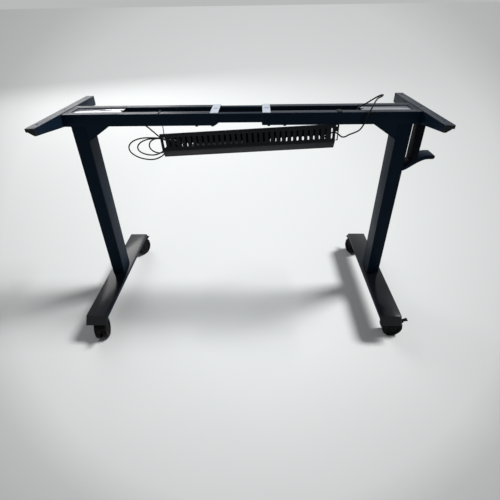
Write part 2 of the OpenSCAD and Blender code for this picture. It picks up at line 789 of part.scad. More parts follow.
// Cable tray, hanging by its right end plate and a wire hook at its left
module tray_frame() {
    translate([tray_right_x, tray_y, frame_h - tray_drop]) rotate([0, -tray_tilt, 0]) children();
}

function tray_profile(t) = [
    [t, 0], [t, -tray_wall_h + t / 3], [tray_slope_d + t / 2, -tray_wall_h - tray_slope_h + t],
    [tray_d - t, -tray_wall_h - tray_slope_h + t], [tray_d - t, -tray_slope_h]
];

module cable_tray() {
    color(tray_coat) tray_frame() difference() {
        union() {
            translate([-tray_l, 0, 0]) rotate([90, 0, 90]) linear_extrude(tray_l) difference() {
                polygon(tray_profile(0));
                polygon(concat(tray_profile(tray_t), [[tray_d - tray_t, cut], [tray_t, cut]]));
            }
            translate([-tray_l, 0, -tray_t]) cube([tray_l, hem_w, tray_t]);
            translate([-tray_l, tray_d - hem_w, -tray_slope_h - tray_t]) cube([tray_l, hem_w, tray_t]);
        }
        for (i = [0 : slot_count - 1])
            translate([-tray_l + slot_pitch * (i + 0.7), tray_t / 2, -tray_wall_h / 2])
                rotate([90, 0, 0]) linear_extrude(2 * tray_t, center = true) slot_shape(slot_l, slot_w);
        for (i = [0 : slot_count - 2])
            translate([-tray_l + slot_pitch * (i + 1.1), tray_d - tray_t / 2, rear_slot_z])
                rotate([90, 0, 0]) linear_extrude(2 * tray_t, center = true)
                    slot_shape(rear_slot_l, slot_w);
    }
}

module tray_hangers() {
    wall_cover = 0.9 * tray_wall_h;
    color(tray_coat) {
        translate([tray_right_x - 4, tray_y - strap_t, 0]) difference() {
            union() {
                translate([0, 0, frame_h - tray_drop - wall_cover])
                    cube([strap_w, strap_t, tray_drop + wall_cover]);
                translate([0, -rail_w, rail_top + slide_gap])
                    cube([strap_w, rail_w + strap_t, cross_plate_t - slide_gap]);
            }
            translate([strap_w / 2 + 0.5, strap_t / 2, frame_h - tray_drop - strap_slot_l * 1.3])
                rotate([90, 0, 0]) linear_extrude(strap_t + 2 * cut, center = true)
                    slot_shape(strap_slot_l, strap_slot_w);
            translate([strap_w / 2, strap_t / 2, frame_h - tray_drop - strap_hole_d])
                rotate([90, 0, 0])
                    cylinder(d = strap_hole_d, h = strap_t + 2 * cut, center = true, $fn = small_fn);
        }
        wire_hook();
    }
}

// Wire hook: from the front rail's top back and down into the tray, then forward under its hem
module wire_hook() {
    wire_x = tray_left_x + strap_w;
    leg_y = tray_y + hem_w + slide_gap + wire_d / 2;
    low_z = frame_h - tray_drop - (tray_l - strap_w) * sin(tray_tilt) - tray_t - 0.53 * wire_d;
    top_z = rail_top + slide_gap;
    translate([wire_x, leg_y, low_z])
        cylinder(d = wire_d, h = top_z - low_z + cross_plate_t / 2, $fn = small_fn);
    translate([wire_x - wire_d / 2, 0, top_z]) cube([wire_d, leg_y + wire_d / 2, cross_plate_t - slide_gap]);
    translate([wire_x, tray_y + tray_t + slide_gap, low_z]) rotate([-90, 0, 0])
        cylinder(d = wire_d, h = hem_w - tray_t + wire_d, $fn = small_fn);
}

module control_box() {
    color(black_plastic) tray_frame() translate([
        box_x - tray_right_x, (tray_d - box_d) / 2, box_floor
    ]) {
        difference() {
            translate([-box_l / 2, 0, 0]) cube([box_l, box_d, box_h]);
            for (i = [0 : 7]) translate([-box_l / 4 + i * box_l / 14, box_d / 2, box_h])
                cube([0.02 * box_l, 0.7 * box_d, 0.1 * box_h], center = true);
        }
        for (s = [-1, 1]) translate([s * (box_l + gland_l) / 2, box_d / 2, gland_z]) rotate([0, 90, 0])
            cylinder(d = gland_d, h = gland_l + cut, center = true, $fn = small_fn);
    }
}

// Side hook: a hanger under the right arm and a curved bar out from the column
function hook_rise(u) = pow(sin(90 * min(1, 1.15 * u)), 1.2);
function hook_mid(u) = [hook_reach * u, -hook_root_drop + (hook_root_drop - hook_tip_drop) * hook_rise(u)];
function hook_slope(u) = unit(hook_mid(u + 0.01) - hook_mid(u - 0.01 * (u > 0 ? 1 : 0)));
function hook_edge(u, side) = hook_mid(u) + side * hook_t / 2 * [-hook_slope(u)[1], hook_slope(u)[0]];

module hook_shape() {
    n = 12;
    tip = hook_mid(1);
    polygon(concat(
        [[0, -hook_root_drop + hook_t / 2]],
        [for (i = [1 : n]) hook_edge(i / n, 1)],
        [for (a = [60 : -30 : -60]) tip + hook_t / 2 * [cos(a), sin(a)]],
        [for (i = [n : -1 : 1]) hook_edge(i / n, -1)],
        [[0, -hook_root_drop - hook_t / 2]]
    ));
}

module below_hook() {
    low = -2 * hook_root_drop;
    polygon(concat([[0, low]], [for (i = [0 : 12]) hook_mid(i / 12)], [[hook_reach, low]]));
}

module hook() {
    color(black_coat) translate([column_x + column_w / 2, hanger_d, rail_bottom]) rotate([90, 0, 0])
        linear_extrude(hanger_d) hook_shape();
}

module hanger() {
    x0 = hanger_x - column_x - column_w / 2;
    tongue_d = hanger_d - bolt_inset_y - bolt_head_d;
    color(black_coat) translate([column_x + column_w / 2, 0, rail_bottom]) {
        translate([0, hanger_d, 0]) rotate([90, 0, 0]) difference() {
            linear_extrude(hanger_d) difference() {
                translate([x0, -hook_root_drop]) square([hanger_w, hook_root_drop + rail_bottom_gap]);
                hook_shape();
                below_hook();
            }
            translate([x0 + arm_wall, -2 * hook_root_drop, -cut]) cube([
                hanger_w - 2 * arm_wall, 2 * hook_root_drop + rail_bottom_gap - arm_wall,
                hanger_d - arm_wall + cut
            ]);
        }
        translate([x0, hanger_d - tongue_d, rail_bottom_gap]) cube([arm_wall, tongue_d, arm_h - 2 * arm_wall]);
    }
}

// Cords: a smooth line through the route's points, swept with a round section
function between(p, i, t) =
    let (n = len(p) - 1, a = p[max(i - 1, 0)], b = p[i], c = p[min(i + 1, n)], d = p[min(i + 2, n)])
    0.5 * (2 * b + (c - a) * t + (2 * a - 5 * b + 4 * c - d) * t * t + (3 * b - a - 3 * c + d) * t * t * t);
function smooth(p, k) =
    concat([for (i = [0 : len(p) - 2], j = [0 : k - 1]) between(p, i, j / k)], [p[len(p) - 1]]);
function unit(v) = v / norm(v);
function heading(p, i) = unit(p[min(i + 1, len(p) - 1)] - p[max(i - 1, 0)]);
function across(v, h) = unit(v - (v * h) * h);
function sides_of(p) = [
    for (i = 0, v = across([0.1, 0.9, 0.4], heading(p, 0)); i < len(p);
        i = i + 1, v = i < len(p) ? across(v, heading(p, i)) : v) v
];

module cord(points, d, sides) {
    side = sides_of(points);
    n = len(points);
    rings = [for (i = [0 : n - 1], k = [0 : sides - 1])
        let (a = 360 * k / sides, v = side[i], w = cross(heading(points, i), v))
        points[i] + d / 2 * (cos(a) * v + sin(a) * w)];
    walls = [for (i = [0 : n - 2], k = [0 : sides - 1])
        let (a = i * sides + k, b = i * sides + (k + 1) % sides)
        each [[a, a + sides, b + sides], [a, b + sides, b]]];
    start = [for (k = [1 : sides - 2]) [0, k, k + 1]];
    far = (n - 1) * sides;
    end = [for (k = [1 : sides - 2]) [far, far + k + 1, far + k]];
    color(cable_black) placed() translate([0, 0, frame_h])
        polyhedron(points = rings, faces = concat(walls, start, end));
}

// The coil's turns: loops that shrink from one to the next, all in one unbroken line
function turn_value(u, k) =
    let (i = floor(u), f = u - i, a = coil_turns[i][k], b = coil_turns[min(i + 1, len(coil_turns) - 1)][k])
    a + (b - a) * f;
function coil_line() = [
    for (i = [0 : floor(coil_steps * coil_sweep / 360)])
        let (u = i / coil_steps, a = coil_first - 360 * u)
        [turn_value(u, 0) + turn_value(u, 2) * cos(a), turn_value(u, 4),
            turn_value(u, 1) + turn_value(u, 3) * sin(a) + coil_lift * pow(max(0, cos(a)), 2)]
];
// A point of the hanging tray, seen from the middle of the frame and the desktop plane
function tray_point(x, y, z) = [
    tray_right_x + x * cos(tray_tilt) - z * sin(tray_tilt), tray_y + y,
    -tray_drop + x * sin(tray_tilt) + z * cos(tray_tilt)
];
// The last stretch of a lead, straight into the gland on side s of the control box
function into_gland(s) = [for (out = [14, 8, 3, -0.5])
    tray_point(box_x - tray_right_x + s * (box_l / 2 + gland_l + out), tray_d / 2, box_floor + gland_z)];
// The route's beginning goes along with the motor, its end stays with the tray
lead_shift = column_x - gearbox_w / 2 - motor_l - motor_boss_l - slide_gap - right_lead_route[0][0];
function with_motor(p, s) =
    [for (i = [0 : len(p) - 1]) p[i] + [s * lead_shift * max(0, 1 - max(0, i - 1) / 5), 0, 0]];

// Plug and socket that join the left motor's lead to the coiled one
module motor_lead_joint() {
    way = joint_in - joint_out;
    l = norm(way);
    plug_w = 2.4 * lead_d;
    plug_t = 1.7 * lead_d;
    color(black_plastic) placed() translate([0, 0, frame_h]) translate(joint_out)
        rotate([0, atan2(way[0], way[2]), 0]) {
            translate([-plug_t / 2, -plug_w / 2, 0]) cube([plug_t, plug_w, l]);
            translate([-plug_t / 2 - 1, -0.4 * plug_w, 0.4 * l]) cube([plug_t + 2, 0.8 * plug_w, 0.12 * l]);
        }
}

module left_motor_lead() {
    cord(smooth(with_motor(left_lead_route, -1), 2), lead_d, lead_sides);
}

// Least distance between two places of the coil that are at least half a turn apart
function coil_gap(p) =
    min([for (i = [0 : len(p) - 1], j = [i + coil_steps / 2 : 1 : len(p) - 1]) norm(p[i] - p[j])]);

module right_motor_lead() {
    cord(smooth(concat(with_motor(right_lead_route, 1), into_gland(1)), 2), lead_d, lead_sides);
}

module coiled_motor_lead() {
    line = concat(smooth(coil_start, 2), coil_line(), smooth(concat(coil_end, into_gland(-1)), 2));
    cord(line, lead_d, lead_sides);
    echo(coil_gap = coil_gap(coil_line()) - lead_d);
}

placed() inner_rail(rail_wall + slide_gap);  // front_inner_rail
placed() inner_rail(rear_rail_y + rail_wall + slide_gap);  // rear_inner_rail
placed() cable_tray();
placed() tray_hangers();
placed() control_box();
coiled_motor_lead();
motor_lead_joint();
on_left() outer_rail(0, rail_bevel);  // left_front_rail
on_left() outer_rail(rear_rail_y, rail_bevel);  // left_rear_rail
on_left() cross_plate();  // left_cross_plate
on_left() head();  // left_head
on_left() cover_plate();  // left_cover_plate
on_left() arm();  // left_arm
on_left() arm_caps();  // left_arm_caps
on_left() screws();  // left_screws
on_left() outer_column();  // left_outer_column
on_left() glides();  // left_glides
on_left() motor();  // left_motor
on_left() gearbox();  // left_gearbox
left_motor_lead();
on_left() spindle();  // left_spindle
on_left() inner_column();  // left_inner_column
on_left() nut_and_guide();  // left_nut_and_guide
on_left() foot();  // left_foot
on_left() foot_caps();  // left_foot_caps
on_left() castor_mounts();  // left_castor_mounts
on_right() outer_rail(0, 0);  // right_front_rail
on_right() outer_rail(rear_rail_y, 0);  // right_rear_rail
on_right() cross_plate();  // right_cross_plate
on_right() head();  // right_head
on_right() cover_plate();  // right_cover_plate
on_right() arm();  // right_arm
on_right() arm_caps();  // right_arm_caps
on_right() screws();  // right_screws
on_right() outer_column();  // right_outer_column
on_right() glides();  // right_glides
on_right() motor();  // right_motor
on_right() gearbox();  // right_gearbox
right_motor_lead();
on_right() hanger();  // right_hanger
on_right() hook();  // right_hook
on_right() spindle();  // right_spindle
on_right() inner_column();  // right_inner_column
on_right() nut_and_guide();  // right_nut_and_guide
on_right() foot();  // right_foot
on_right() foot_caps();  // right_foot_caps
on_right() castor_mounts();  // right_castor_mounts
at_castor(-1, front_castor_y, left_front_turn) castor_fork();  // left_front_castor_fork
at_castor(-1, front_castor_y, left_front_turn) castor_wheels();  // left_front_castor_wheels
at_castor(-1, front_castor_y, left_front_turn) castor_pedal();  // left_front_castor_pedal
at_castor(-1, rear_castor_y, left_rear_turn) castor_fork();  // left_rear_castor_fork
at_castor(-1, rear_castor_y, left_rear_turn) castor_wheels();  // left_rear_castor_wheels
at_castor(-1, rear_castor_y, left_rear_turn) castor_pedal();  // left_rear_castor_pedal
at_castor(1, front_castor_y, right_front_turn) castor_fork();  // right_front_castor_fork
at_castor(1, front_castor_y, right_front_turn) castor_wheels();  // right_front_castor_wheels
at_castor(1, front_castor_y, right_front_turn) castor_pedal();  // right_front_castor_pedal
at_castor(1, rear_castor_y, right_rear_turn) castor_fork();  // right_rear_castor_fork
at_castor(1, rear_castor_y, right_rear_turn) castor_wheels();  // right_rear_castor_wheels
at_castor(1, rear_castor_y, right_rear_turn) castor_pedal();  // right_rear_castor_pedal
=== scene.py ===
# %% [markdown]
# # A desk frame on castors, dressed for its portrait
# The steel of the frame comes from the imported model, so every piece starts in the right place.
# This lesson rounds its edges, gives each surface its real finish, and adds what is too fine
# for the model: the wheels' dished faces, the rails' end bungs, cable ties and round cords.
# All lengths are metres. The floor is z = 0 and +Y points away from the camera.

# %% Load the frame
import json
from math import cos, pi, radians, sin

import bpy
from mathutils import Matrix, Vector

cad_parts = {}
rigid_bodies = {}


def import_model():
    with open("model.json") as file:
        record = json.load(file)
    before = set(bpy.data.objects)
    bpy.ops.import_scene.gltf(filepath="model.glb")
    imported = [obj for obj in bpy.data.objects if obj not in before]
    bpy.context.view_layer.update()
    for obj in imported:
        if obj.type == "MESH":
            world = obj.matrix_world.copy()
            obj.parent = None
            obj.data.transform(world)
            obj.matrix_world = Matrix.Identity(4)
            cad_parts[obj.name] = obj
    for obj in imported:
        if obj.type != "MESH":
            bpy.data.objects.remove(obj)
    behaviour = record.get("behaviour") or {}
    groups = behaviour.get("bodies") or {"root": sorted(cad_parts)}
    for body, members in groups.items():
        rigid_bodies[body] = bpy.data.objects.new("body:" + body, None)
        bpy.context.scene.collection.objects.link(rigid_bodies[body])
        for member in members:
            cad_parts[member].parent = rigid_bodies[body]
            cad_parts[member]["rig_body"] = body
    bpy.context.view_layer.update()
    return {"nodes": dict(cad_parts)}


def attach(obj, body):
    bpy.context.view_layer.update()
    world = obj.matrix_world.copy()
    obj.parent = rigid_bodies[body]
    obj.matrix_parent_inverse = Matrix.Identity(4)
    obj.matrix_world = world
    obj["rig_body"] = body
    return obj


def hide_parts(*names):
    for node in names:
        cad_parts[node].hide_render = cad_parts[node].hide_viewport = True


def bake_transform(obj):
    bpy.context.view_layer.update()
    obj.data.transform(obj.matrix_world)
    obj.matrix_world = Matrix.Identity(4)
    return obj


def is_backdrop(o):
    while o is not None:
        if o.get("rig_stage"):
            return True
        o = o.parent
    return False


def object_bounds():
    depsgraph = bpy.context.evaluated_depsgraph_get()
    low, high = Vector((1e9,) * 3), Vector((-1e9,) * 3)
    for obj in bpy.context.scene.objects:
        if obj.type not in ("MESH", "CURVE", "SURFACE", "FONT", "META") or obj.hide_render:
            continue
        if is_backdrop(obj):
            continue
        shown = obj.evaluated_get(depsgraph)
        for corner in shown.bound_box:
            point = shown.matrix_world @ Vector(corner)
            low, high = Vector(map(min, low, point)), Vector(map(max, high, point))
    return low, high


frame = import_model()
nodes = frame["nodes"]
print("nodes loaded:", len(nodes))

# %% [markdown]
# The frame was measured in millimetres from the middle between its columns, from the front
# face of the front rail and from the floor. One small function turns such a place into the
# scene's own frame, whose origin lies under the middle of the outline.

# %% Places on the frame
MIDDLE = (26.25, 26.69)
DESK_PLANE = 786.0


def place(x, y, z):
    return Vector(((x - MIDDLE[0]) / 1000, (y - MIDDLE[1]) / 1000, z / 1000))


def below_desk(point):
    return place(point[0], point[1], DESK_PLANE + point[2])


def deselect():
    if bpy.context.object and bpy.context.object.mode != "OBJECT":
        bpy.ops.object.mode_set(mode="OBJECT")
    bpy.ops.object.select_all(action="DESELECT")


def pick(obj):
    deselect()
    obj.select_set(True)
    bpy.context.view_layer.objects.active = obj


print("desk plane at", DESK_PLANE / 1000, "m")

# %% [markdown]
# The camera is held in front of the frame, about 30 cm higher than its top, and looks down by
# a little more than a third of a right angle. Its place, tilt and focal length were solved from
# points of the photograph, so the render and the photograph can be laid over each other. The
# focal length and the shift of the middle are in pixels of the photograph.

# %% Camera
PITCH, YAW, ROLL = radians(34.41), radians(-1.32), radians(-0.87)
CAMERA_PLACE = (61.6, -1245.8, 1083.6)
PHOTO_SIDE, FOCAL, SHIFT = 500, 357.9, (-2, -0.3)
SENSOR_WIDTH = 36

camera_data = bpy.data.cameras.new("portrait_camera")
camera = bpy.data.objects.new("portrait_camera", camera_data)
bpy.context.scene.collection.objects.link(camera)
forward = Vector((sin(YAW) * cos(PITCH), cos(YAW) * cos(PITCH), -sin(PITCH)))
level_right = forward.cross(Vector((0, 0, 1))).normalized()
level_up = level_right.cross(forward)
right = cos(ROLL) * level_right + sin(ROLL) * level_up
up = -sin(ROLL) * level_right + cos(ROLL) * level_up
turn = Matrix((right, up, -forward)).transposed().to_4x4()
camera.matrix_world = Matrix.Translation(place(*CAMERA_PLACE)) @ turn
camera_data.sensor_width = SENSOR_WIDTH
camera_data.lens = FOCAL / PHOTO_SIDE * SENSOR_WIDTH
camera_data.shift_x, camera_data.shift_y = (shift / PHOTO_SIDE for shift in SHIFT)
camera_data.clip_end = 2000
bpy.context.scene.camera = camera
print("lens", round(camera_data.lens, 2), "mm")

# %% [markdown]
# ## Motor leads
# A motor lead is a thin, fairly limp cable. Its route is a list of given points, the
# same as in the model's source, and a smooth curve runs through them. The curve could stay a
# curve object, but here it is built as a mesh tube. The
# points are in millimetres, with z measured from the desk plane.

# %% Cord routes
LEAD_D = 0.005
left_lead_route = [
    (-425, 62, -23), (-415, 62, -23), (-400, 62, -21), (-385, 60, -25), (-368, 57, -36),
    (-350, 54, -49), (-334, 52, -60), (-318, 52, -75), (-304, 54, -90),
    (-290, 58, -104), (-277, 62, -110), (-264, 64, -112),
]
right_lead_route = [
    (425, 62, -23), (418, 62, -23), (408, 62, -19), (406, 66, -10), (418, 70, 1),
    (434, 69, 10), (450, 64, 22), (464, 57, 33), (474, 50, 40), (478.5, 44, 42.3),
    (477, 38, 41), (470, 34, 38), (459, 28, 34), (448, 14, 26), (438, 0, 14),
    (429, -8, 0), (422, -10, -18), (415, -10, -40), (405, -8, -58), (390, -5, -68),
    (374, 2, -77), (363, 9, -86), (354, 20, -90), (348.5, 32, -88), (341, 42, -84),
    (328, 48, -82),
    (310, 54, -92), (290, 62, -112), (268, 68, -127), (240, 71, -137), (200, 72, -140),
    (150, 72, -142), (100, 72, -145), (60, 72, -146), (38, 72, -142),
]
coil_start = [
    (-238, 64, -116), (-226, 64, -118), (-213, 61, -125), (-209, 58, -137), (-217, 56, -148),
    (-234, 56, -152), (-252, 57, -151), (-270, 60, -153),
]
coil_end = [(-276, 78, -111), (-258, 76, -122), (-240, 74, -133), (-220, 73, -140)]
print("route points:", len(left_lead_route), len(right_lead_route))

# %% [markdown]
# The tray hangs askew, and the control box lies in it. So the last points of a lead, which go
# into a gland of the box, are given in the tray's own frame and turned with it. The first
# points move out with the motor's gland, and the move dies away along the lead.

# %% Ends of the routes
TRAY_TILT = radians(2.8)
TRAY_CORNER = (331, 32.3, -49.5)
BOX_MIDDLE, BOX_HALF, GLAND_Y, GLAND_Z = -92, 100, 40, -67.5
MOTOR_SHIFT, SHIFTED_POINTS = -0.3, 5


def tray_point(x, y, z):
    c, s = cos(TRAY_TILT), sin(TRAY_TILT)
    corner_x, corner_y, corner_z = TRAY_CORNER
    return (corner_x + x * c - z * s, corner_y + y, corner_z + x * s + z * c)


def into_gland(side):
    middle = BOX_MIDDLE - TRAY_CORNER[0]
    return [tray_point(middle + side * (BOX_HALF + out), GLAND_Y, GLAND_Z)
            for out in (14, 8, 3, -0.5)]


def with_motor(route, side):
    shares = [max(0, 1 - max(0, i - 1) / SHIFTED_POINTS) for i in range(len(route))]
    return [(x + side * MOTOR_SHIFT * share, y, z) for (x, y, z), share in zip(route, shares)]


print("gland points:", len(into_gland(1)))

# %% [markdown]
# A route has a point every one or two centimetres, which would look like a chain of rods. Each
# stretch between two points is drawn as a cubic through them, with the slope that their
# neighbours give, so the curve goes through every point and has no kink.

# %% Smooth lines


def between(p, i, t):
    a, b, c, d = (Vector(p[min(max(k, 0), len(p) - 1)]) for k in (i - 1, i, i + 1, i + 2))
    return 0.5 * (2 * b + (c - a) * t + (2 * a - 5 * b + 4 * c - d) * t * t
                  + (3 * b - a - 3 * c + d) * t ** 3)


def smooth_line(p, k):
    line = [between(p, i, j / k) for i in range(len(p) - 1) for j in range(k)]
    return line + [Vector(p[-1])]


print("points after smoothing:", len(smooth_line(left_lead_route, 5)))

# %% [markdown]
# The spare length of the left lead hangs in a coil that droops out of the tray's open end.
# Each turn is an ellipse, a little smaller than the one before and a little further back, and
# the turns are blended so that the line never breaks. A turn is given by its middle in x and z,
# its two half-widths and its y, and its right side bulges upward over the tray's edge.

# %% The coil's line
coil_turns = [(-350, -143, 76, 43, 63), (-346, -136, 72, 33, 69),
              (-312, -136, 38, 27, 75), (-310, -134, 36, 26, 81)]
COIL_FROM, COIL_DEGREES, COIL_BULGE = -35, 970, 16


def turn_value(u, k):
    i = int(u)
    a, b = coil_turns[i][k], coil_turns[min(i + 1, len(coil_turns) - 1)][k]
    return a + (b - a) * (u - i)


def coil_line(steps):
    line = []
    for i in range(int(steps * COIL_DEGREES / 360) + 1):
        u = i / steps
        a = radians(COIL_FROM - 360 * u)
        line.append(Vector((
            turn_value(u, 0) + turn_value(u, 2) * cos(a), turn_value(u, 4),
            turn_value(u, 1) + turn_value(u, 3) * sin(a) + COIL_BULGE * max(0, cos(a)) ** 2)))
    return line


print("coil points:", len(coil_line(40)))

# %% [markdown]
# The tube is built ring by ring: each ring stands square to the line, and its frame is carried
# along without twist. Twelve sides and smooth shading are enough for a cable of 5 mm. Its UV
# map runs round the tube and along it, in the same scale both ways.

# %% Sweep a cord
SIDES = 12


def sweep(name, line, radius):
    points = [below_desk(p) for p in line]
    verts, faces = [], []
    last = len(points) - 1
    side = Vector((0.1, 0.9, 0.4))
    for i, p in enumerate(points):
        ahead = (points[min(i + 1, last)] - points[max(i - 1, 0)]).normalized()
        side = (side - side.dot(ahead) * ahead).normalized()
        other = ahead.cross(side)
        for k in range(SIDES):
            a = 2 * pi * k / SIDES
            verts.append(p + radius * (cos(a) * side + sin(a) * other))
    for i in range(last):
        for k in range(SIDES):
            a, b = i * SIDES + k, i * SIDES + (k + 1) % SIDES
            faces.append((a, b, b + SIDES, a + SIDES))
    faces.append(tuple(range(SIDES - 1, -1, -1)))
    faces.append(tuple(last * SIDES + k for k in range(SIDES)))
    mesh = bpy.data.meshes.new(name)
    mesh.from_pydata([tuple(v) for v in verts], [], faces)
    uv = mesh.uv_layers.new(name="along")
    lengths = [0.0]
    for a, b in zip(points, points[1:]):
        lengths.append(lengths[-1] + (b - a).length)
    for polygon in mesh.polygons:
        for loop in polygon.loop_indices:
            v = mesh.loops[loop].vertex_index
            uv.data[loop].uv = ((v % SIDES) / SIDES, lengths[v // SIDES] / (2 * pi * radius))
    obj = bpy.data.objects.new(name, mesh)
    bpy.context.scene.collection.objects.link(obj)
    pick(obj)
    bpy.ops.object.shade_smooth_by_angle(angle=radians(50))
    return obj, points, lengths[-1]


# %% [markdown]
# Three cords show: the left motor's lead, the coil that it is plugged into, and the right
# motor's lead, which comes out of the head in a narrow arch and goes down into the tray.
# Their nodes in the model are replaced by these rounder and smoother ones.

# %% Make the cords
LEAD_STEPS, COIL_STEPS, END_STEPS = 5, 40, 4
left_lead, left_points, left_length = sweep(
    "left_motor_cable", smooth_line(with_motor(left_lead_route, -1), LEAD_STEPS), LEAD_D / 2)
right_lead, right_points, right_length = sweep(
    "right_motor_cable",
    smooth_line(with_motor(right_lead_route, 1) + into_gland(1), LEAD_STEPS), LEAD_D / 2)
coil, coil_points, coil_length = sweep(
    "coiled_motor_cable",
    smooth_line(coil_start, END_STEPS) + coil_line(COIL_STEPS)
    + smooth_line(coil_end + into_gland(-1), END_STEPS), LEAD_D / 2)
cords = [left_lead, right_lead, coil]
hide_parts("left_motor_lead")
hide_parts("right_motor_lead")
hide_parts("coiled_motor_lead")
print("cord lengths:", round(left_length, 3), round(right_length, 3), round(coil_length, 3))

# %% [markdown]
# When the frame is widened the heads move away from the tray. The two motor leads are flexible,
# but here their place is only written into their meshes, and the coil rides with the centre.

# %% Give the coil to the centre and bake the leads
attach(coil, "centre")
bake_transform(left_lead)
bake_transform(right_lead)

# %% [markdown]
# ## Finishes
# Powder coat is never a flat colour: it has a fine skin like orange peel, its tone drifts a
# little over a long rail, and rubbed places are smoother. One node group makes these three
# effects from Object coordinates, and each finish feeds it its own colours and sizes.

# %% Shared surface group
surface = bpy.data.node_groups.new("painted_skin", "ShaderNodeTree")
for socket, kind, value in (
        ("Main Color", "NodeSocketColor", (0.5, 0.5, 0.5, 1)),
        ("Drift Color", "NodeSocketColor", (0.5, 0.5, 0.5, 1)),
        ("Drift Size", "NodeSocketFloat", 6.0),
        ("Grain Size", "NodeSocketFloat", 900.0),
        ("Grain Height", "NodeSocketFloat", 0.1),
        ("Smooth Roughness", "NodeSocketFloat", 0.3),
        ("Dull Roughness", "NodeSocketFloat", 0.5)):
    made = surface.interface.new_socket(name=socket, in_out="INPUT", socket_type=kind)
    made.default_value = value
for socket, kind in (("Color", "NodeSocketColor"), ("Roughness", "NodeSocketFloat"),
                     ("Normal", "NodeSocketVector")):
    surface.interface.new_socket(name=socket, in_out="OUTPUT", socket_type=kind)


def node(tree, kind, at, **values):
    made = tree.nodes.new(kind)
    made.location = at
    for key, value in values.items():
        setattr(made, key, value)
    return made


inputs = node(surface, "NodeGroupInput", (-900, 0))
outputs = node(surface, "NodeGroupOutput", (600, 0))
where = node(surface, "ShaderNodeTexCoord", (-900, -300))
drift = node(surface, "ShaderNodeTexNoise", (-600, 100))
drift.inputs["Detail"].default_value = 3
grain = node(surface, "ShaderNodeTexNoise", (-600, -250))
grain.inputs["Detail"].default_value = 2
bump = node(surface, "ShaderNodeBump", (300, -250))
bump.inputs["Distance"].default_value = 0.0004
tone = node(surface, "ShaderNodeMix", (100, 200), data_type="RGBA")
dull = node(surface, "ShaderNodeMapRange", (100, -50))
dull.inputs["From Min"].default_value = 0.3
dull.inputs["From Max"].default_value = 0.7
link = surface.links.new
link(where.outputs["Object"], drift.inputs["Vector"])
link(where.outputs["Object"], grain.inputs["Vector"])
link(inputs.outputs["Drift Size"], drift.inputs["Scale"])
link(inputs.outputs["Grain Size"], grain.inputs["Scale"])
link(drift.outputs["Fac"], tone.inputs["Factor"])
link(inputs.outputs["Main Color"], tone.inputs[6])
link(inputs.outputs["Drift Color"], tone.inputs[7])
link(drift.outputs["Fac"], dull.inputs["Value"])
link(inputs.outputs["Smooth Roughness"], dull.inputs["To Min"])
link(inputs.outputs["Dull Roughness"], dull.inputs["To Max"])
link(grain.outputs["Fac"], bump.inputs["Height"])
link(inputs.outputs["Grain Height"], bump.inputs["Strength"])
link(tone.outputs[2], outputs.inputs["Color"])
link(dull.outputs["Result"], outputs.inputs["Roughness"])
link(bump.outputs["Normal"], outputs.inputs["Normal"])
print("group sockets:", len(surface.interface.items_tree))

# %% [markdown]
# A finish is a Principled shader with the group in front of it. What is the same all over the
# surface, such as metalness or a coat, is set on the shader itself.

# %% How a finish is made


def finish(name, main, drift_color, patches, grain, roughness, metallic=0.0, coat=0.0,
           specular=0.5):
    material = bpy.data.materials.new(name)
    material.use_nodes = True
    tree = material.node_tree
    shader = tree.nodes["Principled BSDF"]
    skin = node(tree, "ShaderNodeGroup", (-300, 0), node_tree=surface)
    values = ((*main, 1), (*drift_color, 1), patches, *grain, *roughness)
    for socket, value in zip(skin.inputs, values):
        socket.default_value = value
    for output, socket in (("Color", "Base Color"), ("Roughness", "Roughness"),
                           ("Normal", "Normal")):
        tree.links.new(skin.outputs[output], shader.inputs[socket])
    for socket, value in (("Metallic", metallic), ("Coat Weight", coat),
                          ("Coat Roughness", 0.15), ("Specular IOR Level", specular)):
        shader.inputs[socket].default_value = value
    return material


def wear(obj, material):
    obj.data.materials.clear()
    obj.data.materials.append(material)


print("a finish feeds the skin", len(surface.interface.items_tree) - 3, "values")

# %% [markdown]
# The colours are linear. Patches is how many tone patches come to a metre, grain is how fine
# and how high the skin is, and roughness goes from the rubbed places to the dull ones. The
# steel is nearly black with a blue cast. The feet shine, the hanger and the castors hardly do.

# %% The finishes
frame_paint = finish("frame_powder_coat", (0.0036, 0.01, 0.02), (0.007, 0.015, 0.029),
                     patches=5, grain=(1100, 0.25), roughness=(0.36, 0.48), specular=0.04)
# painted sheen: this paint is paler than the frame paint, standing for the pale sky that flat
# tops mirror
sheen_top_paint = finish("top_coat_painted_sheen", (0.016, 0.021, 0.032), (0.036, 0.042, 0.056), patches=9,
                   grain=(1100, 0.25), roughness=(0.3, 0.42), specular=0.1)
# painted highlight: this pale paint on the rounded top edges stands for a bright line of light
highlight_edge_paint = finish("edge_coat_painted_highlight", (0.3, 0.34, 0.4), (0.42, 0.46, 0.52), patches=25,
                    grain=(1500, 0.2), roughness=(0.18, 0.3), specular=0.6)
# painted shade: the hanger's paint is a darker copy of the frame paint, as if the hanger lay in
# shadow; it is also duller
shaded_hanger_paint = finish("hanger_coat_painted_shade", (0.0034, 0.005, 0.008), (0.006, 0.008, 0.012),
                      patches=6, grain=(1100, 0.25), roughness=(0.5, 0.6), specular=0.03)
foot_paint = finish("foot_powder_coat", (0.002, 0.003, 0.005), (0.006, 0.006, 0.009), patches=7,
                    grain=(1100, 0.08), roughness=(0.12, 0.22), specular=0.3)
tray_paint = finish("tray_powder_coat", (0.006, 0.009, 0.014), (0.016, 0.015, 0.016), patches=8,
                    grain=(1300, 0.3), roughness=(0.42, 0.56), specular=0.12)
plate_paint = finish("plate_grey_coat", (0.42, 0.48, 0.56), (0.52, 0.57, 0.64), patches=20,
                     grain=(1200, 0.15), roughness=(0.35, 0.5))
cover_gloss = finish("cover_gloss_coat", (0.17, 0.19, 0.22), (0.3, 0.32, 0.35), patches=12,
                     grain=(700, 0.1), roughness=(0.1, 0.22), coat=0.4)
cap_plastic = finish("cap_plastic", (0.004, 0.004, 0.005), (0.01, 0.01, 0.011), patches=30,
                     grain=(1800, 0.35), roughness=(0.4, 0.52), specular=0.2)
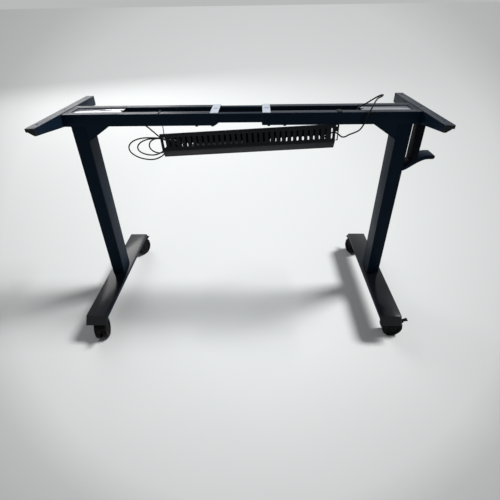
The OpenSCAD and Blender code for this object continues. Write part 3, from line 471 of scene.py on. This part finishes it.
castor_nylon = finish("castor_nylon", (0.003, 0.003, 0.004), (0.007, 0.007, 0.008), patches=40,
                      grain=(1500, 0.2), roughness=(0.3, 0.44), specular=0.05)
wheel_nylon = finish("wheel_nylon", (0.003, 0.003, 0.0035), (0.008, 0.008, 0.008), patches=60,
                     grain=(900, 0.3), roughness=(0.36, 0.5), specular=0.04)
zinc = finish("zinc_plate", (0.3, 0.31, 0.33), (0.42, 0.43, 0.45), patches=50,
              grain=(2000, 0.1), roughness=(0.25, 0.4), metallic=1.0)
screw_black = finish("black_zinc", (0.03, 0.03, 0.035), (0.06, 0.06, 0.065), patches=60,
                     grain=(2000, 0.1), roughness=(0.3, 0.45), metallic=0.7)
white_nylon = finish("white_nylon", (0.62, 0.61, 0.56), (0.72, 0.71, 0.66), patches=30,
                     grain=(900, 0.2), roughness=(0.4, 0.5))
cable_pvc = finish("cable_pvc", (0.004, 0.004, 0.005), (0.01, 0.01, 0.011), patches=40,
                   grain=(1600, 0.25), roughness=(0.34, 0.46), specular=0.15)
print("finishes:", len(bpy.data.materials))

# %% [markdown]
# The leads have a smooth PVC sheath, and get their finish at once.

# %% Dress the cords
for cord in cords:
    wear(cord, cable_pvc)
print("cords dressed:", len(cords))

# %% [markdown]
# ## Rounded steel
# Cut and folded sheet never has a perfectly sharp edge. A node of the model is a mesh of loose
# triangles, so a copy is merged, its flat faces are joined, and a bevel rounds each edge. The
# copy stands in the node's own place, and the node itself stays untouched behind it. The
# alternative, a bevel on the node itself, would crack open at every loose triangle.

# %% Round a copy of a node


def rounded(node_name, piece, material, width, segments=2, angle=32, treat=None):
    source = nodes[node_name]
    copy = bpy.data.objects.new(piece, source.data.copy())
    bpy.context.scene.collection.objects.link(copy)
    pick(copy)
    bpy.ops.object.mode_set(mode="EDIT")
    bpy.ops.mesh.select_all(action="SELECT")
    bpy.ops.mesh.remove_doubles(threshold=0.00001)
    bpy.ops.mesh.dissolve_limited(angle_limit=radians(0.6))
    bpy.ops.object.mode_set(mode="OBJECT")
    edge = copy.modifiers.new("edge", "BEVEL")
    edge.width = width
    edge.segments = segments
    edge.limit_method = "ANGLE"
    edge.angle_limit = radians(angle)
    edge.use_clamp_overlap = True
    bpy.ops.object.modifier_apply(modifier="edge")
    bpy.ops.object.shade_smooth_by_angle(angle=radians(angle))
    wear(copy, material)
    if treat:
        treat(copy)
    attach(copy, source["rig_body"])
    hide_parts(node_name)


print("nodes that can be rounded:", len(nodes))

# %% [markdown]
# Flat tops are painted paler and smoother than the sides, as a painted sheen, and their rounded
# edges are the palest, as a painted highlight. The feet are polished on top by shoes, and dull
# at the sides. A painted mask could show this, but the way a face looks is enough to find it.

# %% Painted sheen on the tops, and polished feet
FLAT, ROUNDED_OFF, SIDEWAYS, POLISHED = 0.97, 0.25, 0.5, 0.3


# painted sheen and highlight: flat tops get the paler top paint, rounded top edges the pale edge
# paint
def paint_sheen_on_tops(copy):
    copy.data.materials.append(sheen_top_paint)
    copy.data.materials.append(highlight_edge_paint)
    for polygon in copy.data.polygons:
        if polygon.normal.z > FLAT:
            polygon.material_index = 1
        elif polygon.normal.z > ROUNDED_OFF and abs(polygon.normal.y) < SIDEWAYS:
            polygon.material_index = 2


def polish(copy):
    copy.data.materials.append(foot_paint)
    for polygon in copy.data.polygons:
        polygon.material_index = 1 if polygon.normal.z > POLISHED else 0


print("treatments: rub, polish")

# %% [markdown]
# Both ends of the frame have the same pieces. Each gets its finish, the name of its colour,
# and the radius of its edges: thin folded plate has a small one, tube a large one.

# %% Pieces of the two ends
end_pieces = (
    ("front_rail", frame_paint, "frame_black", 0.0014, paint_sheen_on_tops),
    ("rear_rail", frame_paint, "frame_black", 0.0014, paint_sheen_on_tops),
    ("cross_plate", plate_paint, "plate_grey", 0.0006, None),
    ("head", frame_paint, "frame_black", 0.0008, paint_sheen_on_tops),
    ("cover_plate", cover_gloss, "plate_grey", 0.0005, None),
    ("arm", frame_paint, "frame_black", 0.0013, paint_sheen_on_tops),
    ("arm_caps", cap_plastic, "plastic_black", 0.0012, None),
    ("outer_column", frame_paint, "frame_black", 0.0005, None),
    ("screws", screw_black, "bare_steel", 0.0006, None),
    ("inner_column", frame_paint, "frame_black", 0.0005, None),
    ("foot", frame_paint, "frame_black", 0.0009, polish),
    ("foot_caps", frame_paint, "plastic_black", 0.0012, polish))
for side in ("left", "right"):
    for part, material, slot, width, treat in end_pieces:
        rounded(f"{side}_{part}", f"{side}_{part}_rounded", material, width, treat=treat)
print("rounded at the ends:", 2 * len(end_pieces))

# %% [markdown]
# The inner rails, the tray with its hangers and its box, and the hook are there once. The
# tray's slots have hundreds of edges, so its bevel has one step and leaves shallow bends alone.

# %% Pieces that are there once
single_pieces = (
    ("front_inner_rail", frame_paint, "frame_black", 0.0012),
    ("rear_inner_rail", frame_paint, "frame_black", 0.0012),
    ("tray_hangers", tray_paint, "tray_black", 0.0004),
    ("right_hanger", shaded_hanger_paint, "frame_black", 0.0006),
    ("right_hook", frame_paint, "frame_black", 0.0015),
    ("control_box", cap_plastic, "plastic_black", 0.0012),
    ("motor_lead_joint", cap_plastic, "plastic_black", 0.0008))
for part, material, slot, width in single_pieces:
    rounded(part, f"{part}_rounded", material, width)
rounded("cable_tray", "cable_tray_rounded", tray_paint, 0.0003,
        segments=1, angle=40)
print("rounded in the middle:", len(single_pieces) + 1)

# %% [markdown]
# The left motor's lead ends in a connector, and the coil starts at that connector.

print("cords: 3")

# %% [markdown]
# What hardly shows keeps its node and only gets its finish: the motors, the gearboxes, the
# spindles and their nuts, the glides, the castors' plates.

# %% Finish the nodes that stay
for side in ("left", "right"):
    for part, material in (("motor", zinc), ("gearbox", cap_plastic), ("spindle", zinc),
                           ("nut_and_guide", white_nylon), ("glides", cap_plastic),
                           ("castor_mounts", zinc)):
        wear(nodes[f"{side}_{part}"], material)
print("kept nodes:", sum(1 for n in nodes.values() if not n.hide_render))

# %% [markdown]
# ## Small fittings
# Where an inner rail enters an outer one, a plastic bung closes the tube's end. It could be a
# plain ring, but a real one has a lip outside the tube: a small frame is drawn as a cube whose
# end faces are inset and bridged, and its edges are rounded. The left rails' ends are cut off
# below, so their bungs are less high. The rails' places are in millimetres.

# %% Rail bungs
RAIL_END = 75
RAIL_LOW, RAIL_TOP, RAIL_WIDE = 744, 784, 30
RAIL_ROWS = (("front", 0), ("rear", 97))
BUNG_LIP, BUNG_INSET, LEFT_CUT = 2.2, 1.0, 10
BUNG_WALL, BUNG_EDGE = 0.0019, 0.0005


def window_frame(name, low, high, wall, depth):
    deselect()
    size = high - low
    bpy.ops.mesh.primitive_cube_add(size=1, location=(low + high) / 2)
    ring = bpy.context.object
    ring.name = name
    ring.scale = size
    bpy.ops.object.transform_apply(location=True, rotation=False, scale=True)
    pick(ring)
    for polygon in ring.data.polygons:
        polygon.select = abs(polygon.normal.x) > 0.9
    bpy.ops.object.mode_set(mode="EDIT")
    bpy.ops.mesh.select_mode(type="FACE")
    bpy.ops.mesh.inset(thickness=wall, depth=0, use_individual=True)
    bpy.ops.mesh.bridge_edge_loops()
    bpy.ops.mesh.select_all(action="SELECT")
    bpy.ops.mesh.normals_make_consistent(inside=False)
    bpy.ops.object.mode_set(mode="OBJECT")
    edge = ring.modifiers.new("edge", "BEVEL")
    edge.width = depth
    edge.segments = 2
    edge.limit_method = "ANGLE"
    bpy.ops.object.modifier_apply(modifier="edge")
    bpy.ops.object.shade_smooth_by_angle(angle=radians(35))
    return ring


for side, sign in (("left", -1), ("right", 1)):
    for row, y in RAIL_ROWS:
        x = sorted((sign * (RAIL_END - BUNG_LIP), sign * RAIL_END))
        cut = LEFT_CUT if side == "left" else 0
        low = place(x[0], y + BUNG_INSET, RAIL_LOW + BUNG_INSET + cut)
        high = place(x[1], y + RAIL_WIDE - BUNG_INSET, RAIL_TOP - BUNG_INSET)
        bung = window_frame(f"{side}_{row}_rail_bung", low, high, BUNG_WALL, BUNG_EDGE)
        wear(bung, cap_plastic)
        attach(bung, f"{side}_end")
print("bungs:", 2 * len(RAIL_ROWS))

# %% [markdown]
# A loose coil of lead is always held by a tie. A tie is a narrow strap bent round the bundle
# with a small head on one side: here a short cylinder is opened at both ends and given a wall,
# and the head is a cube with a bevel, joined to it.

# %% Cable ties
TIE_WIDTH, TIE_WALL, TIE_HEAD = 0.0030, 0.0008, (0.0030, 0.0042, 0.0042)
TIE_SLACK, HEAD_OUT = 0.0002, 0.0012
TIE_POINTS = (12, -14)


def cable_tie(name, at, along, radius):
    deselect()
    bpy.ops.mesh.primitive_cylinder_add(
        vertices=28, radius=radius, depth=TIE_WIDTH, end_fill_type="NOTHING")
    strap = bpy.context.object
    wall = strap.modifiers.new("wall", "SOLIDIFY")
    wall.thickness = TIE_WALL
    wall.offset = 1
    bpy.ops.object.modifier_apply(modifier="wall")
    deselect()
    bpy.ops.mesh.primitive_cube_add(size=1, location=(radius + HEAD_OUT, 0, 0))
    head = bpy.context.object
    head.scale = TIE_HEAD
    bpy.ops.object.transform_apply(location=True, rotation=False, scale=True)
    edge = head.modifiers.new("edge", "BEVEL")
    edge.width = 0.0005
    edge.segments = 2
    bpy.ops.object.modifier_apply(modifier="edge")
    strap.select_set(True)
    bpy.context.view_layer.objects.active = strap
    bpy.ops.object.join()
    strap.name = name
    turned = along.to_track_quat("Z", "X").to_matrix().to_4x4()
    strap.data.transform(Matrix.Translation(at) @ turned)
    bpy.ops.object.shade_smooth_by_angle(angle=radians(35))
    wear(strap, cap_plastic)
    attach(strap, "centre")


for number, index in enumerate(TIE_POINTS, 1):
    here, ahead = coil_points[index], coil_points[index + 1] - coil_points[index]
    cable_tie(f"cable_tie_{number}", here, ahead, LEAD_D / 2 + TIE_SLACK)
print("cable ties:", len(TIE_POINTS))

# %% [markdown]
# ## Castors
# Each castor has two wheels under a fender. The fender and the pedal are rounded copies. The
# wheels are modelled anew: a cylinder is given a tread by bevels, and its outer face is inset
# and pushed in step by step, which leaves a rim, a dish and a hub. Each place is given in
# millimetres, with the degrees that the castor has swivelled.

# %% Castor places
CASTORS = {"left_front": (-560, -243, -78), "right_front": (560, -243, 0),
           "left_rear": (-560, 299, 68), "right_rear": (560, 299, 112)}
WHEEL_R, WHEEL_W, WHEEL_GAP, TRAIL = 0.0375, 0.017, 0.010, 0.020


def castor_frame(name):
    x, y, turn_deg = CASTORS[name]
    return Matrix.Translation(place(x, y, 0)) @ Matrix.Rotation(radians(turn_deg), 4, "Z")


print("wheel diameter:", 2 * WHEEL_R, "m")

# %% [markdown]
# The wheel is drawn once, standing at the origin with its outer face towards +Y. Each step of
# the dish is an inset and then a push along Y: two make the rim, two the dish, two the hub and
# two its cap. A turned profile would do as well, but insets keep the tread's own corners.

# %% One wheel
DISH = ((0.0050, 0), (0.0012, -0.0012), (0.0060, 0), (0.0010, -0.0030),
        (0.0105, 0.0006), (0.0010, 0.0028), (0.0040, 0), (0.0008, -0.0012))
TREAD_EDGE = 0.0022


def draw_wheel():
    deselect()
    bpy.ops.mesh.primitive_cylinder_add(
        vertices=72, radius=WHEEL_R, depth=WHEEL_W, rotation=(-pi / 2, 0, 0),
        location=(0, WHEEL_GAP / 2 + WHEEL_W / 2, 0))
    wheel = bpy.context.object
    bpy.ops.object.transform_apply(location=True, rotation=True, scale=True)
    pick(wheel)
    for polygon in wheel.data.polygons:
        polygon.select = polygon.normal.y > 0.9
    bpy.ops.object.mode_set(mode="EDIT")
    bpy.ops.mesh.select_mode(type="FACE")
    for inset, depth in DISH:
        bpy.ops.mesh.inset(thickness=inset, depth=0)
        bpy.ops.transform.translate(value=(0, depth, 0))
    bpy.ops.object.mode_set(mode="OBJECT")
    edge = wheel.modifiers.new("edge", "BEVEL")
    edge.width = TREAD_EDGE
    edge.segments = 4
    edge.limit_method = "ANGLE"
    edge.angle_limit = radians(60)
    bpy.ops.object.modifier_apply(modifier="edge")
    bpy.ops.object.shade_smooth_by_angle(angle=radians(35))
    return wheel


wheel = draw_wheel()
print("wheel faces:", len(wheel.data.polygons))

# %% [markdown]
# Two wheels and the axle between them turn as one piece. They are copied to the four castors,
# each at its own swivel angle, and moved in their meshes, so that every object stays at the
# origin. The fender and the pedal come from the model, with moulded edges.

# %% Wheels in their places
AXLE_R, AXLE_L = 0.004, 0.012
for name in CASTORS:
    at_axle = castor_frame(name) @ Matrix.Translation((TRAIL, 0, WHEEL_R))
    wheels = []
    for half_turn in (0, pi):
        copy = bpy.data.objects.new(f"{name}_wheel", wheel.data.copy())
        bpy.context.scene.collection.objects.link(copy)
        copy.data.transform(at_axle @ Matrix.Rotation(half_turn, 4, "Z"))
        wheels.append(copy)
    deselect()
    bpy.ops.mesh.primitive_cylinder_add(vertices=32, radius=AXLE_R, depth=AXLE_L)
    axle = bpy.context.object
    bpy.ops.object.transform_apply(location=True, rotation=True, scale=True)
    axle.data.transform(at_axle @ Matrix.Rotation(pi / 2, 4, "X"))
    deselect()
    for part in (wheels[1], axle, wheels[0]):
        part.select_set(True)
    bpy.context.view_layer.objects.active = wheels[0]
    bpy.ops.object.join()
    wheels[0].name = f"{name}_wheels_moulded"
    wear(wheels[0], wheel_nylon)
    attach(wheels[0], f"{name}_wheels")
    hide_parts(f"{name}_castor_wheels")
    for part, width in (("fork", 0.0007), ("pedal", 0.0004)):
        rounded(f"{name}_castor_{part}", f"{name}_{part}_moulded", castor_nylon,
                width, angle=35)
bpy.data.objects.remove(wheel)
print("castors:", len(CASTORS))

# %% [markdown]
# ## The room
# The portrait was taken on a pale grey floor that runs on behind the frame without an edge, so
# one very wide plane is the whole room. It reaches so far back that its edge can't be told
# from the horizon.

# %% Floor
FLOOR_SIDE, FLOOR_BACK = 600, 290
deselect()
bpy.ops.mesh.primitive_plane_add(size=FLOOR_SIDE)
floor = bpy.context.object
floor.name = "studio_floor"
floor.data.transform(Matrix.Translation((0, FLOOR_BACK, 0)))
floor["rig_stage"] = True
print("floor reaches", max(v.co.y for v in floor.data.vertices), "m back")

# %% [markdown]
# The floor's colour holds a painted pool of light: it is painted brightest under and behind the
# frame and falls off to grey all round. The fall is reckoned in the floor's own coordinates: two
# slanting measures, one across and one along the floor, are divided by the distance, so the pale
# spot grows wider towards the back. Each row of numbers is a factor and an addend for one of
# them. A ramp then turns the distance from the spot's middle into a painted grey.

# %% Floor finish
ACROSS, ALONG, DISTANCE, NEAREST = (1.0, -0.03), (-0.565, 0.173), (0.825, 1.66), 0.45
# painted light: these greys paint a pool of light on the floor, brightest under and behind the
# frame
PAINTED_LIGHT_FALL_OFF = ((0.0, 0.72), (0.32, 0.69), (0.52, 0.62), (0.72, 0.55), (0.86, 0.42), (1.0, 0.37))
TINT = (0.98, 1.0, 0.995)

floor_material = bpy.data.materials.new("studio_floor")
floor_material.use_nodes = True
tree = floor_material.node_tree
shader = tree.nodes["Principled BSDF"]
shader.inputs["Roughness"].default_value = 0.9
shader.inputs["Specular IOR Level"].default_value = 0.1
spot = node(tree, "ShaderNodeTexCoord", (-1500, 0))
split = node(tree, "ShaderNodeSeparateXYZ", (-1300, 0))


def scaled(at, source, factor, addend):
    step = node(tree, "ShaderNodeMath", at, operation="MULTIPLY_ADD")
    step.inputs[1].default_value = factor
    step.inputs[2].default_value = addend
    tree.links.new(source, step.inputs[0])
    return step.outputs["Value"]


def two(at, kind, first, second):
    step = node(tree, "ShaderNodeMath", at, operation=kind)
    for socket, value in zip(step.inputs, (first, second)):
        if isinstance(value, float):
            socket.default_value = value
        else:
            tree.links.new(value, socket)
    return step.outputs["Value"]


tree.links.new(spot.outputs["Object"], split.inputs["Vector"])
away = two((-900, 100), "MAXIMUM", scaled((-1100, 100), split.outputs["Y"], *DISTANCE), NEAREST)
across = two((-700, 200), "DIVIDE", scaled((-1100, 300), split.outputs["X"], *ACROSS), away)
along = two((-700, 0), "DIVIDE", scaled((-1100, -100), split.outputs["Y"], *ALONG), away)
squares = two((-500, 100), "ADD", two((-600, 200), "MULTIPLY", across, across),
              two((-600, 0), "MULTIPLY", along, along))
from_middle = two((-300, 100), "SQRT", squares, 0.0)
ramp = node(tree, "ShaderNodeValToRGB", (-100, 0))
for i, (position, grey) in enumerate(PAINTED_LIGHT_FALL_OFF):
    stop = ramp.color_ramp.elements[i] if i < 2 else ramp.color_ramp.elements.new(position)
    stop.position = position
    stop.color = (*(grey * part for part in TINT), 1)
tree.links.new(from_middle, ramp.inputs["Fac"])
tree.links.new(ramp.outputs["Color"], shader.inputs["Base Color"])
wear(floor, floor_material)
print("floor greys:", len(PAINTED_LIGHT_FALL_OFF))

# %% [markdown]
# ## Light
# The light comes evenly from a pale sky. It looks brighter to the camera, and in what the
# paint mirrors, than it shines, so that the shadows under the frame stay clear.

# %% Sky
world = bpy.data.worlds.new("studio_world")
bpy.context.scene.world = world
world.use_nodes = True
tree = world.node_tree
sky = tree.nodes["Background"]
seen = node(tree, "ShaderNodeBackground", (0, -200))
for background, color, strength in ((sky, (0.84, 0.88, 0.90, 1), 0.18),
                                    (seen, (0.93, 0.95, 0.945, 1), 0.52)):
    background.inputs["Color"].default_value = color
    background.inputs["Strength"].default_value = strength
rays = node(tree, "ShaderNodeLightPath", (0, 300))
either = node(tree, "ShaderNodeMath", (150, 300), operation="MAXIMUM")
tree.links.new(rays.outputs["Is Camera Ray"], either.inputs[0])
tree.links.new(rays.outputs["Is Glossy Ray"], either.inputs[1])
choose = node(tree, "ShaderNodeMixShader", (300, 0))
tree.links.new(either.outputs["Value"], choose.inputs["Fac"])
tree.links.new(sky.outputs["Background"], choose.inputs[1])
tree.links.new(seen.outputs["Background"], choose.inputs[2])
tree.links.new(choose.outputs["Shader"], tree.nodes["World Output"].inputs["Surface"])
bpy.context.scene.view_settings.view_transform = "Standard"
print("sky strengths:", [round(b.inputs["Strength"].default_value, 2) for b in (sky, seen)])

# %% [markdown]
# One wide soft lamp stands far off on the right and a little behind, so the shadows of the
# rails and the feet fall to the left. An area lamp near by would do it too, but a sun with a
# wide angle keeps the same strength all over the floor.

# %% Soft key lamp
KEY_DIRECTION, KEY_ANGLE, KEY_STRENGTH = (-0.75, -0.24, -1), radians(19), 3.72


def lamp(name, kind, energy):
    data = bpy.data.lights.new(name, kind)
    data.energy = energy
    obj = bpy.data.objects.new(name, data)
    bpy.context.scene.collection.objects.link(obj)
    return obj


def facing(direction):
    return Vector(direction).to_track_quat("-Z", "Y").to_matrix().to_4x4()


sun = lamp("soft_key", "SUN", KEY_STRENGTH)
sun.data.angle = KEY_ANGLE
sun.matrix_world = facing(KEY_DIRECTION)
print("lamps:", len(bpy.data.lights))

# %% [markdown]
# A glossy foot only shows what it mirrors. In the photograph the left foot and the left cover
# plate mirror something pale, and the right ones don't, so a panel stands behind on the left.
# It could be a white board, but a wide soft lamp is easier to set.

# %% Reflector
PANEL_SIZE, PANEL_POWER = (2.6, 3.2), 86
PANEL_PLACE, LEFT_FOOT = Vector((-2.35, 3.9, 3.0)), Vector((-0.5, 0, 0.2))

panel = lamp("pale_panel", "AREA", PANEL_POWER)
panel.data.shape = "RECTANGLE"
panel.data.size, panel.data.size_y = PANEL_SIZE
panel.matrix_world = Matrix.Translation(PANEL_PLACE) @ facing(LEFT_FOOT - PANEL_PLACE)
panel.visible_camera = False
print("panel stands", round((LEFT_FOOT - PANEL_PLACE).length, 2), "m from the left foot")

# %% [markdown]
# The box round the dressed frame is printed.

# %% Size of the dressed frame
low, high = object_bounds()
print("visual box:", [round(v, 4) for v in low], [round(v, 4) for v in high])
